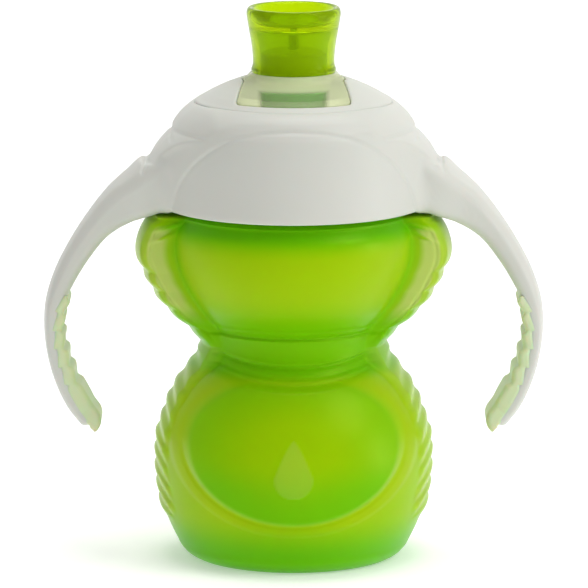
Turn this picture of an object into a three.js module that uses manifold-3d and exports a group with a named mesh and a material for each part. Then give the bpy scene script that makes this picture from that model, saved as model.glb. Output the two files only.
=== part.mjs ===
// Trainer sippy cup, 7 oz: a grippable hourglass cup, a screw-on lid inside a collar with two
// handles, and a spout with a silicone valve. Millimetres, +Z up, origin at the centre of the
// foot, handles along X, front along -Y.
import * as THREE from 'three';
import { mergeVertices } from 'three/addons/utils/BufferGeometryUtils.js';
import Module from 'manifold-3d';

// ---------------------------------------------------------------- driving dimensions
const GAP = 0.3; // clearance between neighbouring pieces

const CUP_WALL = 1.7; // moulded cup wall
const FOOT_R = 25.2; // flat ring that the cup stands on
const FOOT_RECESS = 1.2; // the middle of the underside is this much higher
const FLOOR_TOP_Z = 2.9; // cup floor inside
const WAIST_BAND_Z = [53.8, 60.4]; // lower and upper edge of the band round the waist
const WAIST_BAND_STEP = 0.5;
const GRIP_TOP_Z = 89.7; // top of the side grips, just under the handles
const NECK_R = 28.6; // neck outside, between the threads
const NECK_WALL = 1.8;
const NECK_BASE_Z = 93.0;
const LIP_Z = 106.5; // rim of the cup, where the gasket seals

const LOBE_DEEP = 0.9; // depth of the notches between finger lobes
const UPPER_NOTCH_Z = 76.3; // first notch of the upper lobes, and their number and pitch
const UPPER_NOTCHES = 5;
const UPPER_PITCH = 4.9;
const LOWER_NOTCH_Z = 53.2; // the same for the lower ribs
const LOWER_NOTCHES = 9;
const LOWER_PITCH = 4.56;

const THREAD_STARTS = 3;
const THREAD_LEAD = 12.0; // rise for one full turn
const THREAD_ARC = 100; // degrees that each start covers
const THREAD_HIGH = 1.3; // height of a thread ridge along Z
const THREAD_SLACK = 0.35; // play along Z between the neck's and the lid's ridges
const THREAD_Z = 99.0; // lower end of the neck's ridges
const NECK_CREST_R = 29.9;
const LID_CREST_R = 28.95;
const LID_ROOT_R = 30.2;
const LID_OUTER_R = 31.4;

const SKIRT_R = 33.8; // collar outside, at its lower edge
const SKIRT_Z = 92.2;
const COLLAR_BORE_R = 31.7;
const SEAM_R = 25.4; // round seam between lid crown and collar
const ROOT_HALF_WIDTH = 13.0; // the collar swells this far to each side of a handle root

const CROWN_SPHERE_R = 46.0; // the lid's crown is part of a sphere
const CROWN_CENTRE_Z = 81.4;
const CROWN_R = 25.1;
const CROWN_WALL = 1.5;

const OPENING_FRONT_R = 22.9; // crown opening: arc in front, straight sides, arc behind
const OPENING_FRONT_HALF = 14.8;
const OPENING_BACK_R = 13.3;
const OPENING_BACK_HALF = 11.3;

const TUBE_R = 8.5; // clear tube that carries the spout tip
const SPOUT_NECK_R = 10.9;
const TIP_Z = 126.9; // lower edge of the spout tip
const RIM_Z = 144.0; // top of the whole cup

const GRIP_FROM = 0.545; // where the soft grip starts and ends along a handle
const GRIP_TO = 0.985;
const GRIP_LOBES = 6;
const GRIP_LOBE_HIGH = 0.45;
const GRIP_HALF_WIDTH = 6.3;

// ---------------------------------------------------------------- materials
function plastic(color, roughness, extra = {}) {
  return new THREE.MeshStandardMaterial({ color, roughness, metalness: 0, ...extra });
}
const cupGreen = plastic(0x7cc400, 0.35, { transparent: true, opacity: 0.85 });
const tipGreen = plastic(0x8cc800, 0.15, { transparent: true, opacity: 0.8 });
const collarWhite = plastic(0xe9e9e4, 0.45);
const gripGreen = plastic(0xc6dca2, 0.5, { transparent: true, opacity: 0.8 });
const clearSilicone = plastic(0xd9e6bd, 0.2, { transparent: true, opacity: 0.5 });
const valveGreen = plastic(0x57b32c, 0.45);
const gasketWhite = plastic(0xf2f2ee, 0.6);

// ---------------------------------------------------------------- solids
const wasm = await Module();
wasm.setup();

function manifoldOf(positions) {
  const bare = new THREE.BufferGeometry();
  bare.setAttribute('position', new THREE.BufferAttribute(positions, 3));
  const merged = mergeVertices(bare, 1e-3);
  return new wasm.Manifold(new wasm.Mesh({
    numProp: 3,
    vertProperties: merged.attributes.position.array,
    triVerts: new Uint32Array(merged.index.array),
  }));
}

// The closed surface of a geometry as a solid whose faces point outwards.
function solidOf(geometry) {
  const flat = geometry.index ? geometry.toNonIndexed() : geometry;
  const positions = new Float32Array(flat.getAttribute('position').array);
  const made = manifoldOf(positions);
  if (made.volume() > 0) return made;
  const reversed = new Float32Array(positions.length);
  for (let corner = 0; corner < positions.length / 3; corner++) {
    const triangle = Math.floor(corner / 3);
    const from = triangle * 3 + (2 - corner % 3);
    reversed.set(positions.subarray(from * 3, from * 3 + 3), corner * 3);
  }
  return manifoldOf(reversed);
}

function geometryOf(solid) {
  const mesh = solid.getMesh();
  return new THREE.BufferGeometry()
    .setAttribute('position', new THREE.BufferAttribute(mesh.vertProperties, 3))
    .setIndex(new THREE.BufferAttribute(mesh.triVerts, 1));
}

// ---------------------------------------------------------------- shape helpers
// Turns an [r, z] outline round the Z axis. move(point, index) may shift each vertex.
function turned(outline, segments, move) {
  const points = outline.map(([r, z]) => new THREE.Vector2(r, z));
  const geometry = new THREE.LatheGeometry(points, segments);
  geometry.rotateX(Math.PI / 2);
  if (move) {
    const position = geometry.attributes.position;
    const point = new THREE.Vector3();
    for (let i = 0; i < position.count; i++) {
      point.fromBufferAttribute(position, i);
      move(point, i % outline.length);
      position.setXYZ(i, point.x, point.y, point.z);
    }
  }
  return solidOf(geometry);
}

// Bends a closed cylinder into a body that place(t, a, b) lays out: t runs along it from 0 to 1,
// and (a, b) is a point of the unit disc.
function lofted(around, along, place) {
  const geometry = new THREE.CylinderGeometry(1, 1, 1, around, along);
  const position = geometry.attributes.position;
  for (let i = 0; i < position.count; i++) {
    const spot = place(0.5 - position.getY(i), position.getX(i), position.getZ(i));
    position.setXYZ(i, spot.x, spot.y, spot.z);
  }
  return solidOf(geometry);
}

// Pushes a point of the unit circle out towards the corner of a rounded square.
function squared(a, b) {
  const length = Math.hypot(a, b);
  if (length < 1e-6) return [0, 0];
  const grow = length / Math.cbrt(Math.abs(a) ** 3 + Math.abs(b) ** 3);
  return [a * grow, b * grow];
}

// A smooth curve of value against position, through a few [position, value] stations.
function through(stations) {
  const last = stations.length - 1;
  return (x) => {
    if (x <= stations[0][0]) return stations[0][1];
    if (x >= stations[last][0]) return stations[last][1];
    let i = 0;
    while (stations[i + 1][0] < x) i++;
    const [x0, y0] = stations[i];
    const [x1, y1] = stations[i + 1];
    const before = stations[Math.max(i - 1, 0)];
    const after = stations[Math.min(i + 2, last)];
    const m0 = (y1 - before[1]) / (x1 - before[0]) * (x1 - x0);
    const m1 = (after[1] - y0) / (after[0] - x0) * (x1 - x0);
    const t = (x - x0) / (x1 - x0);
    return y0 * (1 + 2 * t) * (1 - t) ** 2 + m0 * t * (1 - t) ** 2
      + y1 * t * t * (3 - 2 * t) - m1 * t * t * (1 - t);
  };
}

// A thread ridge: a trapezium section from r0 to r1, bent round the axis as a helix.
function helicalRidge(r0, r1, startDeg, zLow) {
  const chamfer = 0.25;
  const section = new THREE.Shape([
    new THREE.Vector2(r0, -THREAD_HIGH / 2),
    new THREE.Vector2(r1, -THREAD_HIGH / 2 + chamfer),
    new THREE.Vector2(r1, THREAD_HIGH / 2 - chamfer),
    new THREE.Vector2(r0, THREAD_HIGH / 2),
  ]);
  const geometry = new THREE.ExtrudeGeometry(section, {
    depth: 1, steps: 10, bevelEnabled: false,
  });
  const position = geometry.attributes.position;
  for (let i = 0; i < position.count; i++) {
    const turn = position.getZ(i) * THREAD_ARC;
    const angle = THREE.MathUtils.degToRad(startDeg + turn);
    const r = position.getX(i);
    const z = position.getY(i) + zLow + THREAD_LEAD * turn / 360;
    position.setXYZ(i, r * Math.cos(angle), r * Math.sin(angle), z);
  }
  return solidOf(geometry);
}

function withThread(solid, r0, r1, zLow) {
  let made = solid;
  for (let start = 0; start < THREAD_STARTS; start++) {
    made = made.add(helicalRidge(r0, r1, start * 360 / THREAD_STARTS, zLow));
  }
  return made;
}

// ---------------------------------------------------------------- cup body
// Radius of the round part against height, foot to shoulder.
const roundRadius = through([
  [1.0, 28.2], [5.0, 30.4], [13.5, 34.1], [19.0, 35.4], [24.5, 35.9], [30.0, 35.5],
  [36.5, 34.0], [42.3, 31.3], [47.5, 27.8], [51.6, 24.2], [54.5, 22.3], [57.0, 21.9],
  [60.0, 22.4], [63.6, 24.8], [70.6, 29.4], [78.0, 32.6], [83.5, 33.3], [90.0, 30.9],
]);
// How far the side grips stand out of it, and half their width along Y.
const gripDepth = through([
  [10.0, 0.0], [14.0, 0.6], [36.0, 0.8], [44.0, 1.5], [50.0, 2.4], [55.0, 3.0], [59.0, 4.2],
  [63.4, 6.4], [67.6, 7.6], [72.0, 7.8], [76.0, 8.0], [80.4, 8.2], [84.5, 7.3], [87.5, 6.9],
  [90.0, 6.8],
]);
const gripHalfWidth = through([
  [10, 10.0], [14, 13.0], [22, 14.2], [34, 12.6], [45, 11.6], [90, 11.6],
]);

// 1 in the middle of a side grip, 0 away from it.
function gripShare(x, y, z) {
  return Math.exp(-((y / (gripHalfWidth(z) + 1.2)) ** 8)) * (Math.abs(x) > Math.abs(y) ? 1 : 0);
}

// How deep the notches between the finger lobes are at height z.
function notchDepth(z) {
  const upperLow = UPPER_NOTCH_Z - UPPER_PITCH * (UPPER_NOTCHES - 1);
  const lowerLow = LOWER_NOTCH_Z - LOWER_PITCH * (LOWER_NOTCHES - 1);
  if (z > UPPER_NOTCH_Z + UPPER_PITCH / 2 || z < lowerLow - LOWER_PITCH / 2) return 0;
  const upper = z > upperLow - UPPER_PITCH / 3;
  const phase = upper ? (z - UPPER_NOTCH_Z) / UPPER_PITCH : (z - LOWER_NOTCH_Z) / LOWER_PITCH;
  return LOBE_DEEP * (1 - Math.abs(Math.sin(Math.PI * phase)));
}

// Heights of the cup's outline: each notch and the lobes between them.
function cupLevels() {
  const levels = [1.0, 3.0, 6.5, 10.5, 14.0];
  for (let i = LOWER_NOTCHES - 1; i >= 0; i--) {
    const notch = LOWER_NOTCH_Z - LOWER_PITCH * i;
    levels.push(notch, notch + LOWER_PITCH / 2);
  }
  levels.pop();
  for (let i = UPPER_NOTCHES - 1; i >= 0; i--) {
    const notch = UPPER_NOTCH_Z - UPPER_PITCH * i;
    levels.push(notch, notch + UPPER_PITCH / 2);
  }
  for (const edge of WAIST_BAND_Z) levels.push(edge - 0.15, edge + 0.15);
  levels.push(81.4, 84.0, 86.4, 88.5);
  return levels.sort((a, b) => a - b);
}

function cupBody() {
  const under = [[0, FOOT_RECESS], [16.0, FOOT_RECESS], [17.0, 0], [FOOT_R, 0], [27.0, 0.35]];
  const [bandLow, bandHigh] = WAIST_BAND_Z;
  const bandAt = (z) => (z > bandLow && z < bandHigh ? WAIST_BAND_STEP : 0);
  const outside = cupLevels().map((z) => [roundRadius(z) + bandAt(z), z]);
  const neck = [
    [31.0, GRIP_TOP_Z - 0.3], [30.4, GRIP_TOP_Z], [30.2, 91.2], [29.4, 92.3],
    [NECK_R, NECK_BASE_Z], [NECK_R, LIP_Z - 0.5], [NECK_R - 0.5, LIP_Z],
    [NECK_R - NECK_WALL + 0.5, LIP_Z], [NECK_R - NECK_WALL, LIP_Z - 0.5],
    [NECK_R - NECK_WALL, NECK_BASE_Z - 0.8],
  ];
  const inside = [89, 82, 75, 68, 62, 57, 52, 45, 36, 26, 14, 5.5]
    .map((z) => [roundRadius(z) - CUP_WALL, z]);
  const floor = [[22.5, FLOOR_TOP_Z], [0, FLOOR_TOP_Z]];
  const outline = [...under, ...outside, ...neck, ...inside, ...floor];
  const firstOutside = under.length;
  const lastOutside = under.length + outside.length; // includes the grips' top edge
  const firstInside = lastOutside + neck.length;
  const lastInside = firstInside + inside.length - 1;
  const crowding = 0.16; // brings the facets closer together at the side grips

  const move = (point, index) => {
    const r = Math.hypot(point.x, point.y);
    const turn = Math.atan2(point.y, point.x);
    const angle = turn - crowding * Math.sin(2 * turn);
    point.x = r * Math.cos(angle);
    point.y = r * Math.sin(angle);
    let deeper = 0;
    if (index >= firstOutside && index <= lastOutside) {
      deeper = gripDepth(point.z) - notchDepth(point.z);
    } else if (index >= firstInside && index <= lastInside) {
      deeper = 0.85 * gripDepth(point.z);
    }
    const scale = 1 + gripShare(point.x, point.y, point.z) * deeper / Math.max(r, 1);
    point.x *= scale;
    point.y *= scale;
  };
  const body = turned(outline, 36, move);
  return withThread(body, NECK_R - 0.5, NECK_CREST_R, THREAD_Z);
}

// ---------------------------------------------------------------- lid and gasket
// Points [r, z] of a sphere about the crown's centre, from one radius to another.
function crownArc(sphere, from, to, steps) {
  const points = [];
  for (let i = 0; i <= steps; i++) {
    const r = from + (to - from) * i / steps;
    points.push([r, CROWN_CENTRE_Z + Math.sqrt(sphere * sphere - r * r)]);
  }
  return points;
}

// Upright prism with the plan of the crown opening, made smaller all round by inset.
function openingPrism(inset) {
  const frontR = OPENING_FRONT_R - inset;
  const frontAngle = Math.acos((OPENING_FRONT_HALF - inset) / frontR);
  const backR = OPENING_BACK_R - inset;
  const backAngle = Math.acos((OPENING_BACK_HALF - inset) / backR);
  const shape = new THREE.Shape();
  shape.moveTo(backR * Math.cos(backAngle), backR * Math.sin(backAngle));
  shape.absarc(0, 0, backR, backAngle, Math.PI - backAngle, false);
  shape.absarc(0, 0, frontR, Math.PI + frontAngle, 2 * Math.PI - frontAngle, false);
  shape.closePath();
  const geometry = new THREE.ExtrudeGeometry(shape, {
    depth: 14, bevelEnabled: false, curveSegments: 8,
  });
  geometry.translate(0, 0, 116);
  return solidOf(geometry);
}

function threadedLid() {
  const inner = CROWN_SPHERE_R - CROWN_WALL;
  const innerR = CROWN_R - 1.3;
  const outline = [
    ...crownArc(CROWN_SPHERE_R, 0, CROWN_R, 6),
    [CROWN_R, 110.2], [LID_OUTER_R - 0.4, 110.0], [LID_OUTER_R, 109.4],
    [LID_OUTER_R, SKIRT_Z + 0.9], [LID_ROOT_R, SKIRT_Z + 0.9], [LID_ROOT_R, 108.5],
    [innerR, 108.5],
    ...crownArc(inner, innerR, 0, 5),
  ];
  const cap = turned(outline, 36).subtract(openingPrism(0));
  const ridgeZ = THREAD_Z - THREAD_HIGH - THREAD_SLACK;
  return withThread(cap, LID_CREST_R, LID_ROOT_R + 0.5, ridgeZ);
}

function lidGasket() {
  return turned([
    [26.8, LIP_Z + GAP], [29.8, LIP_Z + GAP], [29.8, 108.2], [26.8, 108.2], [26.8, LIP_Z + GAP],
  ], 36);
}

// ---------------------------------------------------------------- collar with handles
// Stations along a handle, from inside the collar to the tip: centre line, half the thickness
// and half the width along Y.
const HANDLE_STATIONS = [
  { x: 31.2, z: 100.6, half: 9.0, wide: 11.4 },
  { x: 34.5, z: 99.0, half: 8.1, wide: 10.8 },
  { x: 38.3, z: 96.8, half: 6.9, wide: 9.8 },
  { x: 44.5, z: 93.2, half: 5.2, wide: 8.7 },
  { x: 50.8, z: 87.4, half: 3.8, wide: 7.9 },
  { x: 55.5, z: 80.9, half: 3.3, wide: 7.5 },
  { x: 59.7, z: 73.3, half: 2.9, wide: 7.4 },
  { x: 62.3, z: 66.4, half: 2.3, wide: 7.4 },
  { x: 63.0, z: 60.0, half: 1.9, wide: 7.4 },
  { x: 62.1, z: 52.5, half: 1.9, wide: 7.4 },
  { x: 59.7, z: 45.0, half: 2.0, wide: 7.2 },
  { x: 56.4, z: 39.0, half: 2.1, wide: 6.7 },
  { x: 53.7, z: 35.7, half: 1.5, wide: 5.2 },
];
const handleLine = new THREE.CatmullRomCurve3(
  HANDLE_STATIONS.map(({ x, z }) => new THREE.Vector3(x, 0, z)), false, 'centripetal',
);
const handleSizes = new THREE.CatmullRomCurve3(
  HANDLE_STATIONS.map(({ half, wide }) => new THREE.Vector3(half, wide, 0)), false, 'centripetal',
);

// Centre, direction away from the cup, and sizes of the handle at t.
function handleFrame(t) {
  const centre = handleLine.getPoint(t);
  const along = handleLine.getTangent(t);
  const size = handleSizes.getPoint(t);
  return { x: centre.x, z: centre.z, outX: -along.z, outZ: along.x, half: size.x, wide: size.y };
}

function handle(side) {
  return lofted(12, 20, (t, a, b) => {
    const { x, z, outX, outZ, half, wide } = handleFrame(t);
    const [u, v] = squared(a, b);
    return new THREE.Vector3(side * (x + outX * half * u), wide * v, z + outZ * half * u);
  });
}

// How far the collar's shoulder swells towards the handle roots, against height.
const rootSwell = through([
  [92, 0.5], [100, 3.8], [104.0, 4.4], [106.3, 2.7], [108.1, 2.0], [110.1, 1.1], [112, 0],
  [113, 0], [120, 0],
]);

function collarShell() {
  const outside = [
    [SEAM_R, 119.5], [28.2, 117.9], [30.2, 116.0], [31.6, 114.1], [32.3, 112.0], [32.7, 109.0],
    [33.0, 106.0], [33.2, 103.0], [33.5, 98.0], [SKIRT_R, 93.0], [SKIRT_R - 0.2, SKIRT_Z],
  ];
  const inside = [
    [31.2, SKIRT_Z], [31.2, SKIRT_Z + 0.6], [COLLAR_BORE_R, SKIRT_Z + 0.7],
    [COLLAR_BORE_R, 110.3], [30.0, 112.6], [28.4, 114.6], [26.6, 116.1], [SEAM_R, 117.2],
  ];
  const swell = (point, index) => {
    if (index >= outside.length) return;
    const r = Math.hypot(point.x, point.y);
    const share = Math.exp(-((point.y / ROOT_HALF_WIDTH) ** 4));
    const scale = 1 + share * rootSwell(point.z) / r;
    point.x *= scale;
    point.y *= scale;
  };
  return turned([...outside, ...inside, outside[0]], 44, swell);
}

// The arched panel in front (side -1) or behind (side 1): what is cut away over it.
function panelCut(side) {
  const arch = new THREE.Shape();
  arch.moveTo(-32.2, SKIRT_Z - 5);
  arch.lineTo(-32.2, SKIRT_Z);
  arch.bezierCurveTo(-29.5, 106, -19, 116.2, 0, 116.4);
  arch.bezierCurveTo(19, 116.2, 29.5, 106, 32.2, SKIRT_Z);
  arch.lineTo(32.2, SKIRT_Z - 5);
  arch.closePath();
  const geometry = new THREE.ExtrudeGeometry(arch, {
    depth: 50, bevelEnabled: false, curveSegments: 8,
  });
  geometry.rotateX(Math.PI / 2);
  if (side > 0) geometry.rotateZ(Math.PI);
  const skin = turned([
    [60, SKIRT_Z - 8], [60, 130], [24, 130], [27.7, 117.5], [29.7, 115.8], [31.1, 113.9],
    [31.8, 112.0], [32.2, 109.0], [32.7, 103.0], [33.0, 98.0], [33.3, SKIRT_Z - 2],
    [33.3, SKIRT_Z - 8], [60, SKIRT_Z - 8],
  ], 40);
  return solidOf(geometry).intersect(skin);
}

function handleCollar() {
  // The room inside the collar, which the handle roots don't enter.
  const core = turned([
    [0, 60], [33.4, 60], [33.4, SKIRT_Z - 1.8], [COLLAR_BORE_R + 0.2, SKIRT_Z - 0.4],
    [COLLAR_BORE_R + 0.2, 110.4], [30.0, 112.9], [28.2, 115.0], [24.0, 116.6], [0, 116.6],
  ], 40);
  let made = collarShell().subtract(panelCut(-1)).subtract(panelCut(1));
  for (const side of [-1, 1]) made = made.add(handle(side).subtract(core));
  return made;
}

// ---------------------------------------------------------------- handle grips
const gripThickness = through([
  [0, 0.4], [0.15, 0.8], [0.5, 1.1], [0.75, 1.4], [0.95, 1.9], [1, 1.3],
]);

function handleGrip(side) {
  return lofted(10, 25, (t, a, b) => {
    const { x, z, outX, outZ, half } = handleFrame(GRIP_FROM + (GRIP_TO - GRIP_FROM) * t);
    const lobe = GRIP_LOBE_HIGH * (Math.abs(Math.sin(Math.PI * GRIP_LOBES * t)) - 0.5);
    const [u, v] = squared(a, b);
    const thick = gripThickness(t);
    const inwards = half + GAP + thick - (thick + (u < 0 ? lobe : 0)) * u;
    const wide = GRIP_HALF_WIDTH - 1.2 * t * t;
    return new THREE.Vector3(side * (x - outX * inwards), wide * v, z - outZ * inwards);
  });
}

// ---------------------------------------------------------------- spout and valve
function spoutBase() {
  const under = CROWN_SPHERE_R - CROWN_WALL - GAP; // flange against the crown's inside
  const flangeWall = 1.3;
  const outline = [
    [0.9, 132.3], [8.0, 132.3], [TUBE_R, 131.8], [TUBE_R, TIP_Z - GAP],
    [SPOUT_NECK_R - 0.3, TIP_Z - GAP], [SPOUT_NECK_R, TIP_Z - 0.7], [SPOUT_NECK_R, 125.0],
    [11.6, 124.2],
    ...crownArc(under, 12.8, 23.4, 4), [23.4, 117.3],
    ...crownArc(under - flangeWall, 22.6, 12.6, 3), [10.4, 120.9],
    [10.4, 115.5], [9.1, 115.5], [9.1, 122.0], [9.7, 122.8], [9.7, 125.4],
    [TUBE_R, 125.4], [TUBE_R, 122.6], [TUBE_R - 1.1, 122.6], [TUBE_R - 1.1, 131.1],
    [0.9, 131.1], [0.9, 132.3],
  ];
  // Raised boss that fills the crown opening.
  const boss = turned([
    ...crownArc(under - 0.5, 9.9, 24, 4), ...crownArc(CROWN_SPHERE_R - 0.4, 24, 9.9, 4),
    crownArc(under - 0.5, 9.9, 24, 4)[0],
  ], 36).intersect(openingPrism(GAP));
  return turned(outline, 30).add(boss);
}

function spoutTip() {
  const outside = [
    [10.6, TIP_Z], [11.0, 127.7], [10.5, 128.9], [10.6, 131.6], [10.9, 134.1], [11.4, 137.0],
    [11.85, 139.9], [12.2, 142.2], [12.0, 143.3], [11.3, RIM_Z],
  ];
  const bowl = [[10.3, 143.7], [9.4, 142.6], [8.3, 140.9], [7.0, 139.8], [0.7, 139.4]];
  const flowTube = [[0.7, 132.9], [1.3, 132.9], [1.3, 138.2]];
  const inside = [
    [7.0, 138.4], [8.6, 139.1], [9.9, 138.2], [9.6, 136.6], [9.0, 134.1], [8.8, 131.5],
    [8.8, TIP_Z],
  ];
  return turned([...outside, ...bowl, ...flowTube, ...inside, outside[0]], 30);
}

function valveBody() {
  return turned([
    [0, 123.7], [4.5, 124.0], [6.4, 125.3], [7.1, 125.0], [7.1, 122.3], [8.8, 122.2],
    [8.8, 115.2], [10.3, 115.2], [10.3, 113.6], [7.4, 113.6], [7.4, 120.6],
    [5.5, 122.7], [0, 122.9],
  ], 24);
}

// ---------------------------------------------------------------- assembly
const group = new THREE.Group();
function addPart(name, solid, material) {
  const mesh = new THREE.Mesh(geometryOf(solid), material);
  mesh.name = name;
  group.add(mesh);
}

addPart('cup_body', cupBody(), cupGreen);
addPart('lid_gasket', lidGasket(), gasketWhite);
addPart('threaded_lid', threadedLid(), collarWhite);
addPart('handle_collar', handleCollar(), collarWhite);
addPart('left_grip', handleGrip(-1), gripGreen);
addPart('right_grip', handleGrip(1), gripGreen);
addPart('spout_base', spoutBase(), clearSilicone);
addPart('spout_tip', spoutTip(), tipGreen);
addPart('valve_body', valveBody(), valveGreen);

export default group;
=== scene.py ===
"""Trainer sippy cup: the looks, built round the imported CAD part. Sizes are millimetres until a
mesh is made; the front is -Y and the handles lie along X."""
import math

import bpy
import numpy as np
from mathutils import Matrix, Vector


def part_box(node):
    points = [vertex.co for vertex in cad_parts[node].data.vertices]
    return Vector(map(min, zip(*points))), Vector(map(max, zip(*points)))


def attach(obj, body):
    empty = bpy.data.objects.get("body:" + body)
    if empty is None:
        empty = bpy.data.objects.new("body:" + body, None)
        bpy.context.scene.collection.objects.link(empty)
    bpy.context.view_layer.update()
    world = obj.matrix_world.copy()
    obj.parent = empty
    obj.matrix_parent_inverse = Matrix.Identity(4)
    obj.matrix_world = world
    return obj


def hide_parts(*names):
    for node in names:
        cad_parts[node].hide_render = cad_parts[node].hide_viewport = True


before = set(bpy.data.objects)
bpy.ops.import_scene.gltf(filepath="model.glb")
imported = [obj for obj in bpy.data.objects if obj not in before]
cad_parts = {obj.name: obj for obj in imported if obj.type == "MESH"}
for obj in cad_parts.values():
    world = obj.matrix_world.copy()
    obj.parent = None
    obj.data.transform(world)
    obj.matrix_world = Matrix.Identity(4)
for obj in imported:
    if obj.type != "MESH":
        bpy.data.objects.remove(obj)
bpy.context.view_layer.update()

MM = 0.001


def box_mm(node):
    low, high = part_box(node)
    return np.array(low) / MM, np.array(high) / MM


# ------------------------------------------------------------------ heights read from the frame
LIP_Z = box_mm("cup_body")[1][2]  # rim of the cup
LID_EDGE_Z = box_mm("threaded_lid")[0][2]  # lower edge of the lid's threaded skirt
SOCKET_EDGE_Z = box_mm("spout_base")[0][2]  # lower edge of the socket that holds the valve
TIP_Z = box_mm("spout_tip")[0][2]  # lower edge of the mouthpiece
RIM_Z = box_mm("spout_tip")[1][2]  # top of the mouthpiece

# ------------------------------------------------------------------ driving sizes
GAP = 0.3  # clearance between neighbouring pieces
CUP_WALL = 1.7
NECK_R = 28.6  # neck outside, between the thread's ridges
NECK_WALL = 1.8
CUP_FLOOR_Z = 2.9
GRIP_TOP_Z = 90.6  # top of the cup's side grips
WAIST_BAND_Z = (53.8, 60.4)  # lower and upper edge of the band round the waist

UPPER_NOTCH_Z = 76.3  # first notch of the upper side grips, then their pitch and number
UPPER_PITCH = 4.9
UPPER_COUNT = 5
LOWER_NOTCH_Z = 53.2  # the same for the lower side grips
LOWER_PITCH = 4.56
LOWER_COUNT = 9

OVAL_Z = 34  # middle of the oval on the lower bulb
PANEL = (27.2, 19.3, 17.5)  # the oval's half width, and its reach below and above the middle
PANEL_SURROUND = (32.0, 22.8, 22.0)  # the same for the raised field round it
DROP_Z = 27.0  # height of the drop's widest place
DROP_HALF_WIDTH = 5.0
DROP_ABOVE = 9.5
DROP_BELOW = 5.2

THREAD_STARTS = 3
THREAD_LEAD = 12.0  # rise for one full turn
THREAD_ARC = math.radians(100)  # angle that each start covers
NECK_THREAD_Z = 99.0  # lower end of the neck's ridges
NECK_THREAD_HIGH = 1.3
LID_THREAD_Z = 97.35  # the same on the lid, close under the neck's
LID_THREAD_HIGH = 1.25

CROWN_SPHERE_R = 46.0  # the lid's crown is part of a sphere
CROWN_CENTRE_Z = 81.4
CROWN_WALL = 1.5
CROWN_EDGE_R = 25.55
LID_ROOT_R = 30.2  # inside of the lid's skirt, between its ridges
LID_OUTER_R = 31.4
OPENING_FRONT_R, OPENING_FRONT_HALF = 22.9, 14.8  # crown opening: arc in front
OPENING_BACK_R, OPENING_BACK_HALF = 13.3, 11.3  # and arc behind

ROOT_HALF_WIDTH = 13  # the collar swells this far to each side of a handle root
SHOULDER_FOOT_Z = 104.3  # where the shoulder over a handle root ends and the handle's top begins
TUBE_R = 8.5  # clear tube inside the mouthpiece
SPOUT_NECK_R = 10.9
FLANGE_R = 23.4


# ------------------------------------------------------------------ curves and steps
def through(stations):
    """A smooth curve of value against position through a few (position, value) stations."""
    xs = np.array([s[0] for s in stations], float)
    ys = np.array([s[1] for s in stations], float)
    slopes = np.gradient(ys, xs)
    slopes[0] = (ys[1] - ys[0]) / (xs[1] - xs[0])
    slopes[-1] = (ys[-1] - ys[-2]) / (xs[-1] - xs[-2])

    def at(x):
        x = np.clip(x, xs[0], xs[-1])
        i = np.clip(np.searchsorted(xs, x, side="right") - 1, 0, len(xs) - 2)
        span = xs[i + 1] - xs[i]
        t = (x - xs[i]) / span
        return (ys[i] * (1 + 2 * t) * (1 - t) ** 2 + slopes[i] * span * t * (1 - t) ** 2
                + ys[i + 1] * t * t * (3 - 2 * t) - slopes[i + 1] * span * t * t * (1 - t))
    return at


def ramp(x, low, high):
    """0 below low, 1 above high, smooth between."""
    t = np.clip((x - low) / (high - low), 0, 1)
    return t * t * (3 - 2 * t)


def groove(distance, half_width):
    """1 on a line, falling smoothly to 0 at about two half widths from it."""
    return np.exp(-(distance / half_width) ** 2)


def smooth_min(a, b, k):
    """The smaller of a and b, with the corner between them rounded over a width of k."""
    h = np.clip(0.5 + 0.5 * (b - a) / k, 0, 1)
    return b + (a - b) * h - k * h * (1 - h)


def rounded(corners, steps=5):
    """Outline points for (r, z, radius) corners, each rounded by its radius."""
    out = []
    last = len(corners) - 1
    for i, (r, z, radius) in enumerate(corners):
        here = np.array([r, z], float)
        if radius <= 0 or i in (0, last):
            out.append(here)
            continue
        before = np.array(corners[i - 1][:2], float) - here
        after = np.array(corners[i + 1][:2], float) - here
        reach_a = min(radius, 0.49 * np.linalg.norm(before))
        reach_b = min(radius, 0.49 * np.linalg.norm(after))
        a = here + before / np.linalg.norm(before) * reach_a
        b = here + after / np.linalg.norm(after) * reach_b
        for t in np.linspace(0, 1, steps):
            out.append((1 - t) ** 2 * a + 2 * t * (1 - t) * here + t * t * b)
    return np.array(out)


def refined(points, longest):
    """The same outline with extra points, so that no segment is longer than longest."""
    out = [points[0]]
    for a, b in zip(points[:-1], points[1:]):
        n = max(1, math.ceil(np.linalg.norm(b - a) / longest))
        out += [a + (b - a) * k / n for k in range(1, n + 1)]
    return np.array(out)


def table_reader(u, v, shape):
    """read(table) gives a table's value between its points, at u and v steps from its corner."""
    u = np.clip(u, 0, shape[0] - 1.001)
    v = np.clip(v, 0, shape[1] - 1.001)
    i, j = u.astype(int), v.astype(int)
    u, v = u - i, v - j

    def read(table):
        return (table[i, j] * (1 - u) * (1 - v) + table[i + 1, j] * u * (1 - v)
                + table[i, j + 1] * (1 - u) * v + table[i + 1, j + 1] * u * v)
    return read


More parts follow.
